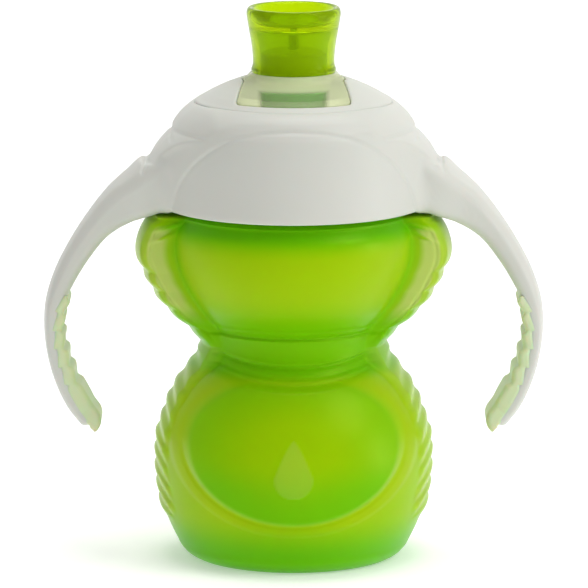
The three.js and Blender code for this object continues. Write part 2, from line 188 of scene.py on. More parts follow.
# ------------------------------------------------------------------ meshes
def mesh_object(name, verts, faces):
    """verts in millimetres; faces a list of index arrays, each array (n, 3) or (n, 4)."""
    mesh = bpy.data.meshes.new(name)
    loops = np.concatenate([f.ravel() for f in faces]).astype(np.int32)
    sizes = np.concatenate([np.full(len(f), f.shape[1]) for f in faces]).astype(np.int32)
    starts = np.concatenate([[0], np.cumsum(sizes)[:-1]]).astype(np.int32)
    mesh.vertices.add(len(verts))
    mesh.vertices.foreach_set("co", (np.asarray(verts) * MM).astype(np.float32).ravel())
    mesh.loops.add(len(loops))
    mesh.loops.foreach_set("vertex_index", loops)
    mesh.polygons.add(len(sizes))
    mesh.polygons.foreach_set("loop_start", starts)
    mesh.update(calc_edges=True)
    mesh.validate()
    mesh.polygons.foreach_set("use_smooth", np.ones(len(mesh.polygons), bool))
    obj = bpy.data.objects.new(name, mesh)
    bpy.context.scene.collection.objects.link(obj)
    return obj


def turned(name, outline, around, shift=None):
    """Turns an outline of (r, z) points round the Z axis. An outline that starts and ends on the
    axis closes there; any other is a loop. shift(x, y, z) may move the points."""
    outline = np.asarray(outline, float)
    polar = outline[0][0] < 1e-6
    rows = outline[1:-1] if polar else outline
    phi = np.linspace(0, 2 * math.pi, around, endpoint=False)
    x = rows[:, :1] * np.cos(phi)
    y = rows[:, :1] * np.sin(phi)
    z = np.repeat(rows[:, 1:2], around, axis=1)
    if shift:
        x, y, z = shift(x, y, z)
    verts = np.stack([x, y, z], axis=-1).reshape(-1, 3)
    n = len(rows)
    j, i = np.meshgrid(np.arange(n - 1 if polar else n), np.arange(around), indexing="ij")
    j2, i2 = (j + 1) % n, (i + 1) % around
    quads = np.stack([j * around + i, j * around + i2, j2 * around + i2, j2 * around + i], -1)
    faces = [quads.reshape(-1, 4)]
    if polar:
        first, last = len(verts), len(verts) + 1
        verts = np.vstack([verts, [0, 0, outline[0][1]], [0, 0, outline[-1][1]]])
        a = np.arange(around)
        b = (a + 1) % around
        end = (n - 1) * around
        faces.append(np.stack([b, a, np.full(around, first)], -1))
        faces.append(np.stack([end + a, end + b, np.full(around, last)], -1))
    obj = mesh_object(name, verts, faces)
    face_outwards(obj)
    return obj


def face_outwards(obj):
    """Turns every face round if the closed mesh is inside out."""
    mesh = obj.data
    mesh.calc_loop_triangles()
    co = np.empty(len(mesh.vertices) * 3)
    mesh.vertices.foreach_get("co", co)
    co = co.reshape(-1, 3)
    tri = np.empty(len(mesh.loop_triangles) * 3, np.int32)
    mesh.loop_triangles.foreach_get("vertices", tri)
    a, b, c = (co[tri.reshape(-1, 3)[:, k]] for k in range(3))
    if np.einsum("ij,ij->i", a, np.cross(b, c)).sum() < 0:
        mesh.flip_normals()


def surface_net(name, distance, low, high, step):
    """The closed surface where distance(x, y, z) is 0, as a smooth quad mesh. The distance is
    negative inside, and positive all over the edge of the block from low to high."""
    axes = [np.arange(low[k], high[k] + step, step) for k in range(3)]
    field = np.empty([len(a) for a in axes], np.float32)
    slab = 24
    for i in range(0, len(axes[0]), slab):
        gx, gy, gz = np.meshgrid(axes[0][i:i + slab], axes[1], axes[2], indexing="ij")
        field[i:i + slab] = distance(gx, gy, gz)
    inside = field < 0
    cells = tuple(n - 1 for n in field.shape)

    def corner(array, a, b, c):
        return array[a:a + cells[0], b:b + cells[1], c:c + cells[2]]

    count = sum(corner(inside, a, b, c).astype(np.int8)
                for a in (0, 1) for b in (0, 1) for c in (0, 1))
    active = (count > 0) & (count < 8)
    cell = np.argwhere(active)
    number = np.full(cells, -1, np.int32)
    number[active] = np.arange(len(cell))
    total = np.zeros((len(cell), 3))
    hits = np.zeros(len(cell))
    for axis in range(3):
        others = [k for k in range(3) if k != axis]
        for p in (0, 1):
            for q in (0, 1):
                start = cell.copy()
                start[:, others[0]] += p
                start[:, others[1]] += q
                stop = start.copy()
                stop[:, axis] += 1
                fa = field[tuple(start.T)].astype(float)
                fb = field[tuple(stop.T)].astype(float)
                cross = (fa < 0) != (fb < 0)
                t = np.where(cross, fa / np.where(cross, fa - fb, 1), 0)
                point = start.astype(float)
                point[:, axis] += t
                total[cross] += point[cross]
                hits[cross] += 1
    verts = np.array([a[0] for a in axes]) + total / hits[:, None] * step
    quads = []
    for axis in range(3):
        b, c = [k for k in range(3) if k != axis]
        lower = [slice(None)] * 3
        upper = [slice(None)] * 3
        lower[axis] = slice(0, -1)
        upper[axis] = slice(1, None)
        change = inside[tuple(lower)] != inside[tuple(upper)]
        edge = np.argwhere(change)
        keep = ((edge[:, b] > 0) & (edge[:, b] < field.shape[b] - 1)
                & (edge[:, c] > 0) & (edge[:, c] < field.shape[c] - 1))
        edge = edge[keep]
        ring = []
        for db, dc in ((-1, -1), (0, -1), (0, 0), (-1, 0)):
            at = edge.copy()
            at[:, b] += db
            at[:, c] += dc
            ring.append(number[tuple(at.T)])
        quad = np.stack(ring, -1)
        starts_inside = inside[tuple(edge.T)]
        flip = starts_inside if axis != 1 else ~starts_inside
        quad[~flip] = quad[~flip][:, ::-1]
        quads.append(quad)
    obj = mesh_object(name, verts, [np.concatenate(quads)])
    face_outwards(obj)
    return obj


def profile_distance(outline):
    """distance(r, z) to a closed outline of (r, z) points, read from a fine table."""
    outline = np.asarray(outline, float)
    step = 0.2
    r0, z0 = outline.min(0) - 8
    r1, z1 = outline.max(0) + 8
    rs = np.arange(r0, r1 + step, step)
    zs = np.arange(z0, z1 + step, step)
    gr, gz = np.meshgrid(rs, zs, indexing="ij")
    best = np.full(gr.shape, 1e9)
    odd = np.zeros(gr.shape, bool)
    for a, b in zip(outline, np.roll(outline, -1, axis=0)):
        d = b - a
        t = np.clip(((gr - a[0]) * d[0] + (gz - a[1]) * d[1]) / max(d @ d, 1e-9), 0, 1)
        best = np.minimum(best, np.hypot(gr - a[0] - t * d[0], gz - a[1] - t * d[1]))
        if a[1] != b[1]:
            hit = (gz >= min(a[1], b[1])) & (gz < max(a[1], b[1]))
            odd ^= hit & (gr < a[0] + (gz - a[1]) * d[0] / (b[1] - a[1]))
    table = np.where(odd, -best, best)

    def at(r, z):
        return table_reader((r - r0) / step, (z - z0) / step, table.shape)(table)
    return at


# ------------------------------------------------------------------ cup
# Radius of the round cup against height, without the side grips.
round_radius = through([
    (0.3, 26.3), (1.0, 27.6), (2.5, 29.2), (5.0, 30.6), (9.0, 32.5), (13.5, 34.1),
    (19.0, 35.3), (24.5, 35.8), (30.0, 35.4), (36.5, 33.8), (42.3, 31.2), (47.5, 27.9),
    (51.2, 24.6), (54.0, 22.5), (57.0, 21.9),
    (60.0, 22.4), (63.6, 24.8), (67.4, 27.6), (71.0, 29.6), (75.0, 31.5), (79.5, 32.9),
    (84.0, 33.3), (87.5, 32.6), (90.0, 30.9),
])
# Radius at the middle of the side grips, without the notches between their lobes.
grip_radius = through([
    (9.0, 32.6), (13.0, 34.7), (19.0, 35.9), (26.0, 36.4), (34.0, 35.8), (38.0, 34.4),
    (42.3, 32.9), (46.6, 30.6), (50.8, 27.5), (55.0, 25.1), (57.0, 25.0), (60.0, 27.0),
    (63.5, 31.0), (67.7, 35.0), (71.9, 37.7), (76.0, 39.7), (80.4, 41.1), (84.6, 40.5),
    (87.5, 39.2), (89.0, 38.2), (90.0, 37.6),
])
grip_half_width = through([(10, 9), (13, 13), (18, 14.4), (26, 13.6), (34, 12.4), (45, 11.2),
                           (57, 10.8), (70, 11.2), (90, 11.2)])
UPPER_NOTCHES = [UPPER_NOTCH_Z - UPPER_PITCH * i for i in range(UPPER_COUNT)]
LOWER_NOTCHES = [LOWER_NOTCH_Z - LOWER_PITCH * i for i in range(LOWER_COUNT)]


def scale_notch(z, notches, pitch):
    """1 at each notch, falling away fast below it and slowly above: overlapping scales."""
    deep = np.zeros_like(z)
    for notch in notches:
        below = np.clip((notch - z) / pitch, 0, 1)
        above = np.clip((z - notch) / pitch, 0, 1)
        deep = np.maximum(deep, np.where(z < notch, 1 - ramp(below, 0.0, 0.36),
                                         1 - ramp(above, 0.0, 0.55)))
    return deep


def notch_depth(across, z):
    """Level notches on the upper grips; on the lower ones they slope down to each side."""
    slanted = z + 3.4 * (np.minimum(across, 16) / 12.5) ** 1.6
    upper = sum(np.clip(1 - np.abs(z - notch) / 2.45, 0, 1) ** 1.5 for notch in UPPER_NOTCHES)
    return (0.8 * upper * ramp(z, 54.2, 55.4)
            + 0.58 * scale_notch(slanted, LOWER_NOTCHES, LOWER_PITCH) * ramp(z, 55.4, 54.2))


def drop_distance(x, z):
    """Signed distance, roughly, to a plain drop outline: pointed above, round below."""
    v = z - DROP_Z
    point = np.where(v > 0, np.clip(1 - v / DROP_ABOVE, 0, 1) ** 0.75, 1)
    bowl = np.sqrt(np.clip(1 - (np.minimum(v, 0) / DROP_BELOW) ** 2, 0, 1))
    side = np.abs(x) - DROP_HALF_WIDTH * point * bowl
    return np.where((v > DROP_ABOVE) | (v < -DROP_BELOW), 3.0, side * 0.85)


def oval(x, z, half_width, below, above):
    """1 on an oval about the middle of the lower bulb, less inside it and more outside."""
    return np.hypot(x / half_width, (z - OVAL_Z) / np.where(z < OVAL_Z, below, above))


def front_relief(x, z):
    """How far the panels on the front and back of the lower bulb stand out, with the line
    under each, the raised field round it and the drop on it."""
    inner = oval(x, z, *PANEL)
    outer = oval(x, z, *PANEL_SURROUND)
    low = ramp(z, 36, 24)
    out = (0.5 + 0.25 * low) * ramp(inner, 1.06 - 0.02 * low, 0.93 + 0.03 * low)
    out -= 0.2 * low * groove((inner - 1.05) * 25, 0.6)
    out += 0.28 * ramp(outer, 1.03, 0.97) * ramp(z, 58, 50)
    return out + 0.16 * ramp(drop_distance(x, z), 0.35, -0.25)


def grip_mask(across, z):
    """1 on a side grip, 0 off it, from the distance across it."""
    width = grip_half_width(z)
    return ramp(across, width + 2.8, width - 0.9) ** 1.6 * ramp(z, 9.5, 13.5)


def cup_surface(x, y, z):
    """Moves the points of the round cup to its real shape: grips, band, lines and panels."""
    r = np.maximum(np.hypot(x, y), 1e-6)
    base = round_radius(z)
    across = np.abs(y) / r * base
    sideways = np.abs(x) > 0.5 * r
    on_grip = grip_mask(across, z) * sideways
    off_grip = 1 - on_grip
    width = grip_half_width(z)
    upper = ramp(z, 57, 62)
    crest = grip_radius(z) - notch_depth(across, z)
    crest = crest - 0.8 * ramp(across, width - 3.2, width - 0.4) ** 2 * upper
    crest = crest - 1.1 * ramp(z, GRIP_TOP_Z - 2.0, GRIP_TOP_Z)
    stand = np.maximum(crest, base) - base
    out = base + stand * on_grip
    # waist band and the lines under it, which rise towards the side grips
    bend = 2.1 * (np.minimum(np.abs(x), 20) / 19.5) ** 2
    low, high = WAIST_BAND_Z
    band = ramp(z - bend, low - 0.25, low + 0.25) * ramp(z, high + 0.25, high - 0.25)
    out += 0.6 * band * off_grip
    for line, deep, wide in ((z - bend - low + 0.6, 0.3, 0.4), (z - high - 0.6, 0.3, 0.4),
                             (z - bend - 50.9, 0.34, 0.5), (z - 1.2 * bend - 49.2, 0.2, 0.5),
                             (z + 0.2 * bend - 63.0, 0.12, 0.5)):
        out -= deep * groove(line, wide) * off_grip * ramp(np.abs(y), 5, 9)
    front = front_relief(x, z) * ramp(z, 9.5, 12.5) * ramp(z - bend, 49.2, 47.6)
    out += front * off_grip * (np.abs(y) > 5)
    inner = base - CUP_WALL + 0.8 * (np.maximum(grip_radius(z), base) - base) * on_grip
    moved = np.where(OUTSIDE_ROWS, out, np.where(INSIDE_ROWS, inner, r))
    scale = moved / r
    # on the faces of the upper grips: a line inside the rim, and slanting ribs near the top
    face = 4 * on_grip * off_grip * upper * sideways * OUTSIDE_ROWS
    high_on_face = stand * on_grip
    rim_line = groove(high_on_face - grip_radius(z) + base + 2.0, 0.4) * ramp(z, 89, 86)
    ribs = sum(groove(z - at + 0.42 * (high_on_face - 4), 0.55) for at in (85.2, 87.9))
    outward = face * (0.8 * ribs * ramp(z, 82, 84) - 0.5 * rim_line)
    return x * scale, y * scale + np.sign(y) * outward, z


def helix_ridge(x, y, z, z_low):
    """1 on the thread's ridges, 0 between them."""
    phi = np.mod(np.arctan2(y, x), 2 * math.pi)
    height = np.zeros_like(z)
    for start in range(THREAD_STARTS):
        turn = np.mod(phi - start * 2 * math.pi / THREAD_STARTS, 2 * math.pi)
        mid = z_low + THREAD_LEAD * turn / (2 * math.pi)
        ends = ramp(turn, 0.0, 0.06) * ramp(turn, THREAD_ARC, THREAD_ARC - 0.06)
        height = np.maximum(height, ends * ramp(np.abs(z - mid), 0.66, 0.38))
    return height


# The cup's outline, from the middle of its underside over the rim to the middle of its floor.
under = rounded([(0, 1.2, 0), (16.0, 1.2, 0.6), (17.0, 0.0, 0.5), (25.4, 0.0, 0.8), (26.3, 0.3, 0)])
side_z = np.unique(np.concatenate([np.arange(0.5, GRIP_TOP_Z, 0.36), [GRIP_TOP_Z]]))
side = np.stack([round_radius(side_z), side_z], -1)
neck = refined(rounded([
    (30.6, GRIP_TOP_Z + 0.25, 0), (30.2, 91.4, 0.5), (29.3, 92.3, 0.5), (NECK_R, 93.2, 0.6),
    (NECK_R, LIP_Z, 0.7), (NECK_R - NECK_WALL, LIP_Z, 0.7), (NECK_R - NECK_WALL, 92.0, 0.8),
    (29.2, 89.6, 0),
]), 0.3)
inner_z = np.arange(89.0, 5.0, -0.8)
inner = np.stack([round_radius(inner_z) - CUP_WALL, inner_z], -1)
floor_in = rounded([(28.6, 4.9, 0), (26.8, CUP_FLOOR_Z, 1.8), (0, CUP_FLOOR_Z, 0)])
outline = np.vstack([under, side, neck, inner, floor_in])
row_kind = np.concatenate([np.zeros(len(under)), np.ones(len(side)), np.full(len(neck), 2),
                           np.full(len(inner), 3), np.zeros(len(floor_in))])[1:-1]
OUTSIDE_ROWS = (row_kind == 1)[:, None]
INSIDE_ROWS = (row_kind == 3)[:, None]
NECK_ROWS = (row_kind == 2)[:, None]


def crowded(phi):
    """Angles moved closer together at the faces of the side grips."""
    fine = np.linspace(0, 2 * math.pi, 7201)
    from_side = np.arcsin(np.abs(np.sin(fine)))
    density = 1 + 6 * groove(from_side - math.radians(21.5), math.radians(2.8))
    total = np.concatenate([[0], np.cumsum((density[1:] + density[:-1]) / 2)])
    return np.interp(phi, total / total[-1] * 2 * math.pi, fine)


def cup_shape(x, y, z):
    """The cup's surface with the thread's ridges on its neck."""
    r = np.hypot(x, y)
    phi = crowded(np.mod(np.arctan2(y, x), 2 * math.pi))
    x, y = r * np.cos(phi), r * np.sin(phi)
    x, y, z = cup_surface(x, y, z)
    thread = helix_ridge(x, y, z, NECK_THREAD_Z) * NECK_ROWS * (np.hypot(x, y) > NECK_R - 0.2)
    scale = 1 + thread * NECK_THREAD_HIGH / NECK_R
    return x * scale, y * scale, z


cup = turned("cup_shell", outline, 640, cup_shape)


def paint(obj, name, shade):
    """Stores shade(x, y, z) at each point of obj as a number that a material can read."""
    co = np.empty(len(obj.data.vertices) * 3)
    obj.data.vertices.foreach_get("co", co)
    x, y, z = (co / MM).reshape(-1, 3).T
    values = shade(x, y, z).astype(np.float32)
    layer = obj.data.attributes.new(name, "FLOAT", "POINT")
    layer.data.foreach_set("value", values)


def grip_at(x, y, z):
    """Distance across a side grip, and 1 on a grip but 0 off it."""
    r = np.maximum(np.hypot(x, y), 1e-6)
    across = np.abs(y) / r * round_radius(z)
    return across, grip_mask(across, z) * (np.abs(x) > 0.5 * r)


def painted_green_shade(x, y, z):
    """Painted shade: deeper green on the foot, waist, shoulder under the skirt and beside the
    grips.
    """
    across, on_grip = grip_at(x, y, z)
    shade = 0.95 * ramp(z, 16, 5) + 0.75 * ramp(z, 73, 62) * ramp(z, 49, 52)
    # painted shadow of the lid's skirt, kept lighter on the grips
    shade = np.maximum(shade, ramp(z, 83, 89) * (1 - 0.8 * on_grip))
    inner = oval(x, z, *PANEL)
    inside = 0.45 * ramp(inner, 1.04, 0.97) * ramp(inner, 0.3, 0.95) + 0.4 * ramp(z, 32, 22)
    shade = np.maximum(shade, inside * ramp(inner, 1.05, 0.97) * ramp(z, 51, 48))
    beside = ramp(across - grip_half_width(z), 6.5, 2.5) * ramp(z, 58, 64) * (1 - on_grip)
    return np.clip(np.maximum(shade, 0.55 * beside), 0, 1)


def frosting(x, y, z):
    """The paler, milkier faces of the side grips, and the drop on the front and back."""
    across, on_grip = grip_at(x, y, z)
    face = 0.9 * ramp(on_grip, 0.2, 0.5) * ramp(on_grip, 0.995, 0.9) + 0.25 * on_grip
    upper = face * ramp(z, 62, 70) * ramp(z, 89, 86.5)
    lower = 0.3 * on_grip * ramp(z, 10, 14)
    drop = 0.17 * ramp(drop_distance(x, z), 0.3, -0.3) * (np.abs(y) > 20)
    return np.maximum(np.where(z > 57, upper, lower), drop)


def painted_glow(x, y, z):
    """Where light gathers inside the wall and the colour turns yellower."""
    across, on_grip = grip_at(x, y, z)
    inner = oval(x, z, *PANEL)
    ring = 0.7 * ramp(inner, 1.0, 1.08) * ramp(inner, 1.3, 1.12) * ramp(z, 9, 16) * ramp(z, 52, 46)
    chamber = 0.3 * ramp(z, 64, 76) * ramp(z, 86, 80)
    face = ramp(on_grip, 0.02, 0.15) * ramp(on_grip, 0.6, 0.3) * ramp(z, 62, 68)
    return np.clip(np.maximum(np.maximum(ring * (1 - on_grip), chamber), face), 0, 1)


# painted glow, then painted shade, stored on the cup
paint(cup, "painted_glow", painted_glow)
paint(cup, "painted_green_shade", painted_green_shade)
paint(cup, "frosting", frosting)
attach(cup, "cup")
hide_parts("cup_body")

# ------------------------------------------------------------------ gasket and valve
GASKET_INNER_R, GASKET_OUTER_R = 26.8, 29.8
GASKET_TOP_Z = 108.2
gasket = turned("sealing_ring", rounded([
    (GASKET_INNER_R, LIP_Z + GAP, 0), (28.3, LIP_Z + GAP, 0.2), (GASKET_OUTER_R, LIP_Z + GAP, 0.3),
    (GASKET_OUTER_R, GASKET_TOP_Z, 0.4), (GASKET_INNER_R, GASKET_TOP_Z, 0.4),
    (GASKET_INNER_R, LIP_Z + 0.5, 0.1)]), 160)
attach(gasket, "gasket")
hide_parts("lid_gasket")

valve = turned("valve_cup", rounded([
    (0, 122.6, 0), (1.4, 122.8, 0.8), (4.5, 124.3, 1.0), (6.6, 125.3, 0.7), (7.1, 124.6, 0.3),
    (7.1, 122.3, 0.4), (8.8, 122.2, 0.5), (8.8, 115.2, 0.3), (10.3, 115.2, 0.4),
    (10.3, 113.6, 0.4), (7.4, 113.6, 0.4), (7.4, 120.6, 1.2), (5.5, 122.0, 1.0),
    (1.6, 121.3, 0.6), (0, 121.2, 0)]), 128)
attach(valve, "valve")
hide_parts("valve_body")


# ------------------------------------------------------------------ lid crown with thread
def crown_z(r, sphere=CROWN_SPHERE_R):
    """Height of the crown's sphere, or of one inside it, at a radius from the axis."""
    return CROWN_CENTRE_Z + np.sqrt(np.maximum(sphere ** 2 - np.square(r), 1.0))


def opening_distance(x, y):
    """Signed distance, roughly, to the plan of the crown opening: front arc, sides, back arc."""
    front_y = -math.sqrt(OPENING_FRONT_R ** 2 - OPENING_FRONT_HALF ** 2)
    back_y = math.sqrt(OPENING_BACK_R ** 2 - OPENING_BACK_HALF ** 2)
    slope = (OPENING_FRONT_HALF - OPENING_BACK_HALF) / (back_y - front_y)
    side = (np.abs(x) - (OPENING_BACK_HALF + slope * (back_y - y))) / math.hypot(1, slope)
    r = np.hypot(x, y)
    fan = -smooth_min(-side, OPENING_FRONT_R - r, 1.6)
    fan = np.maximum(fan, y - back_y)
    return np.minimum(fan, np.maximum(r - OPENING_BACK_R, -(y + 4)))


CROWN_INSIDE_R = CROWN_SPHERE_R - CROWN_WALL
lid_profile = profile_distance(rounded(
    [(-6, crown_z(0), 0)] + [(r, crown_z(r), 0) for r in np.linspace(0.01, 24.4, 12)] + [
        (CROWN_EDGE_R, crown_z(25.3), 0.3), (CROWN_EDGE_R, 110.2, 0.3), (31.0, 110.0, 0.4),
        (LID_OUTER_R, 109.4, 0.3), (LID_OUTER_R, LID_EDGE_Z, 0.4), (LID_ROOT_R, LID_EDGE_Z, 0.3),
        (LID_ROOT_R, 108.5, 0.6), (23.8, 108.5, 0.5)]
    + [(r, crown_z(r, CROWN_INSIDE_R), 0) for r in np.linspace(23.8, 0.01, 10)]
    + [(-6, crown_z(0, CROWN_INSIDE_R), 0)]))


def lid_distance(x, y, z):
    """Crown and threaded skirt, less the opening that the spout fills."""
    r = np.hypot(x, y)
    body = lid_profile(r, z)
    ridge = helix_ridge(x, y, z, LID_THREAD_Z)
    inner_wall = LID_ROOT_R - LID_THREAD_HIGH * ridge
    thread = np.maximum(inner_wall - r, r - LID_ROOT_R - 0.4)
    thread = np.where(ridge > 0.02, thread, 9)
    body = np.minimum(body, thread)
    hole = opening_distance(x, y)
    hole = np.where(z > 112, hole, 9)
    return -smooth_min(-body, hole, 0.7)


crown = surface_net("lid_crown", lid_distance, (-32.4, -32.4, 92.0), (32.4, 32.4, 129.0), 0.38)
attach(crown, "lid")
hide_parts("threaded_lid")


# ------------------------------------------------------------------ collar with handles
collar_outer = profile_distance([
    (-6, 119.5), (25.4, 119.5), (25.9, 119.35), (27.0, 118.8), (28.2, 117.95), (29.3, 117.0),
    (30.3, 115.9), (31.2, 114.7), (31.85, 113.4), (32.3, 111.8), (32.6, 109.5), (32.9, 106.5),
    (33.2, 102.5), (33.5, 98.0), (33.8, 93.2), (33.75, 92.5), (33.3, 92.2), (-6, 92.2)])
collar_core = profile_distance([
    (-6, 80), (31.2, 80), (31.2, 92.8), (31.7, 92.95), (31.7, 110.3), (30.0, 112.7),
    (28.2, 114.7), (26.6, 116.2), (25.4, 117.3), (25.4, 125), (-6, 125)])
root_swell = through([(88, 0.5), (92, 0.7), (100, 3.6), (104.5, 4.9), (106.3, 3.9), (108.1, 3.0),
                      (110.1, 1.6), (112.0, 0.15), (113, 0), (120, 0)])

HANDLE = np.array([
    # x, z of the centre line, half thickness, half width along Y
    (28.0, 102.9, 8.4, 13.0), (31.2, 101.2, 8.4, 12.8), (34.5, 99.6, 7.5, 12.4),
    (38.3, 97.1, 6.7, 11.4), (44.5, 93.2, 5.3, 9.1), (50.8, 87.4, 3.8, 7.9),
    (55.5, 80.9, 3.3, 7.5), (59.7, 73.3, 2.9, 7.4), (62.3, 66.4, 2.3, 7.4),
    (63.0, 60.0, 1.9, 7.4), (62.1, 52.5, 1.9, 7.4), (59.7, 45.0, 2.0, 7.2),
    (56.4, 39.0, 2.1, 6.7), (54.3, 36.3, 1.9, 5.9)])


def handle_samples():
    """Arc positions along the centre line, and the four station values at each."""
    arc = np.concatenate([[0], np.cumsum(np.hypot(*np.diff(HANDLE[:, :2], axis=0).T))])
    s = np.linspace(0, arc[-1], 320)
    return s, np.stack([through(list(zip(arc, HANDLE[:, k])))(s) for k in range(4)], -1)


HANDLE_S, HANDLE_LINE = handle_samples()
HANDLE_TANGENT = np.gradient(HANDLE_LINE[:, :2], HANDLE_S, axis=0)
HANDLE_TANGENT /= np.linalg.norm(HANDLE_TANGENT, axis=1)[:, None]


def handle_frame_table():
    """A grid over the XZ plane (x > 0): its corner and step, and at each point the arc position,
    the distance from the centre line, and the side (1 away from the cup, -1 towards it)."""
    step = 0.4
    xs = np.arange(22, 70, step)
    zs = np.arange(30, 124, step)
    gx, gz = np.meshgrid(xs, zs, indexing="ij")
    dx = gx[..., None] - HANDLE_LINE[:, 0]
    dz = gz[..., None] - HANDLE_LINE[:, 1]
    nearest = np.argmin(dx * dx + dz * dz, axis=-1)
    pick = np.take_along_axis
    dx = pick(dx, nearest[..., None], -1)[..., 0]
    dz = pick(dz, nearest[..., None], -1)[..., 0]
    tangent = HANDLE_TANGENT[nearest]
    side = np.sign(-tangent[..., 1] * dx + tangent[..., 0] * dz)
    return xs[0], zs[0], step, HANDLE_S[nearest], np.hypot(dx, dz), side


TABLE = handle_frame_table()
HALF_AT = through(list(zip(HANDLE_S[::8], HANDLE_LINE[::8, 2])))
WIDE_AT = through(list(zip(HANDLE_S[::8], HANDLE_LINE[::8, 3])))


def handle_place(x, z):
    """Arc position, distance from the centre line, and offset (positive away from the cup)."""
    x0, z0, step, arc, far, side = TABLE
    read = table_reader((np.abs(x) - x0) / step, (z - z0) / step, arc.shape)
    return read(arc), read(far), read(far * side)


def box_distance(a, b, half_a, half_b, radius):
    """Signed distance in the (a, b) plane to a rectangle with rounded corners."""
    qa = np.abs(a) - half_a + radius
    qb = np.abs(b) - half_b + radius
    return (np.hypot(np.maximum(qa, 0), np.maximum(qb, 0))
            + np.minimum(np.maximum(qa, qb), 0) - radius)


def handle_distance(x, y, z):
    """Both handles, mirrored in the YZ plane."""
    arc, far, offset = handle_place(x, z)
    half = HALF_AT(arc)
    # the outer face is crowned from edge to edge
    far = far + 0.02 * y * y * ramp(offset, 0.0, 2.0)
    return box_distance(far, y, half, WIDE_AT(arc), np.minimum(half * 0.8, 2.6))


# Over the arched panel in front and behind: the panel's top edge, and the ridge above it.
arch_z = through([(0, 116.4), (9, 115.6), (17.5, 113.0), (23, 109.2), (27.6, 104.0),
                  (30.6, 98.0), (32.2, 92.2), (33.0, 88.0)])
ridge_z = through([(0, 118.6), (12, 117.9), (22, 115.4), (27.6, 113.2), (33, 109.0), (40, 104.4)])
# The outline of the shoulder over each handle root, against height.
shoulder_x = through([(103.0, 38.6), (104.1, 38.1), (106.0, 36.9), (108.4, 35.5), (110.6, 33.8),
                      (112.2, 32.3), (112.7, 31.7), (113.3, 31.6), (114.5, 31.0), (117.2, 28.8),
                      (119.5, 25.8), (122.0, 20.0)])
# Thin creases on the shoulder, as start and end in the XZ plane and depth.
SHOULDER_CREASES = (((38.0, 104.6), (39.0, 102.2), 0.6), ((31.9, 112.9), (31.6, 110.8), 0.4))


def stroke(ax, z, start, end, wide):
    """1 on a straight line between two points of the XZ plane, fading to 0 beside it."""
    step = np.subtract(end, start)
    along = np.clip(((ax - start[0]) * step[0] + (z - start[1]) * step[1]) / (step @ step), 0, 1)
    return groove(np.hypot(ax - start[0] - along * step[0], z - start[1] - along * step[1]), wide)


def collar_distance(x, y, z):
    """The shroud round the lid with both handles growing out of it."""
    ax, ay = np.abs(x), np.abs(y)
    r = np.hypot(x, y)
    swell = root_swell(z) * np.exp(-(y / ROOT_HALF_WIDTH) ** 4)
    # a soft ridge sweeps over the arched panel in front and behind, whose edge is a thin crease
    steep = 1 / np.sqrt(1 + np.square(arch_z(ax + 0.5) - arch_z(ax - 0.5)))
    line = (arch_z(ax) - z) * steep
    over_ridge = z - ridge_z(ax)
    ridge = np.where(over_ridge > 0, groove(over_ridge, 4.0), 0.22 + 0.78 * groove(over_ridge, 2.0))
    proud = (0.6 + 0.9 * ramp(ax, 10, 30)) * ridge * ramp(line, 0.9, -0.3) * ramp(ay, 5.5, 9.5)
    crease = 0.14 * groove(line - 0.7, 0.4) * ramp(ay, 3, 10)
    outer = collar_outer(r - swell, z) - proud + crease
    blend = 0.8 + 1.9 * ramp(z, 103.5, 97.0)
    body = smooth_min(outer, handle_distance(x, y, z), blend)
    # the rounded shoulder at each side, down to the step where the handle's top begins
    shoulder = np.maximum(0.75 * (shoulder_x(z) - y * y / 60 - ax), SHOULDER_FOOT_Z - z)
    body = -smooth_min(-body, shoulder, 0.4)
    for start, end, deep in SHOULDER_CREASES:
        body = body + deep * stroke(ax, z, start, end, 0.5)
    core = collar_core(r, z)
    return -smooth_min(-body, core, 0.35)


collar = surface_net("handle_shell", collar_distance,
                     (-66.0, -35.4, 32.0), (66.0, 35.4, 121.4), 0.42)
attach(collar, "lid")
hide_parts("handle_collar")

# ------------------------------------------------------------------ soft grips
GRIP_LOBE_PITCH = 5.05
GRIP_LOBES = 5
GRIP_LONG = 36.0
GRIP_START = HANDLE_S[-1] - GRIP_LONG


def grip_distance(x, y, z):
    """A soft pad on the inner side of a handle: a row of lobes and a plain pad at the tip."""
    arc, far, offset = handle_place(x, z)
    s = arc - GRIP_START
    lobe = np.clip(s / GRIP_LOBE_PITCH, 0, GRIP_LOBES - 1e-6)
    phase = lobe - np.floor(lobe)
    pad_s = s - GRIP_LOBES * GRIP_LOBE_PITCH
    on_pad = pad_s > 0
    bulge = ramp(phase, 0.0, 0.28) * (1 - 0.75 * ramp(phase, 0.35, 1.0))
    bulge = np.where(on_pad, ramp(pad_s, 0.0, 2.2) * (1.1 - 0.35 * ramp(pad_s, 4, 11)), bulge)
    base = 0.35 + 0.05 * np.clip(s, 0, 24)
    thick = base + 0.95 * bulge
    wrap = np.where(on_pad, 1.0 + 0.9 * ramp(pad_s, 0, 1.5) + 0.05 * pad_s, 0.7 + 1.7 * phase)
    half = HALF_AT(arc)
    inner_edge = -(half + thick)
    outer_edge = -half + wrap
    mid = 0.5 * (inner_edge + outer_edge)
    deep = 0.5 * (outer_edge - inner_edge)
    wide = WIDE_AT(arc) + 0.12
    body = box_distance(offset - mid, y, deep, wide, np.minimum(deep * 0.9, 1.5))
    end = np.where(arc >= HANDLE_S[-1] - 0.01, far - half - thick, -9)
    return np.maximum(np.maximum(body, -s), end)


grips = []
for sign, side_name in ((-1, "left"), (1, "right")):
    low = (min(sign * 48, sign * 66), -9.0, 31.0)
    high = (max(sign * 48, sign * 66), 9.0, 76.0)
    grip = surface_net(f"{side_name}_soft_grip", grip_distance, low, high, 0.25)
    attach(grip, "lid")
    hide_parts(f"{side_name}_grip")
    grips.append(grip)

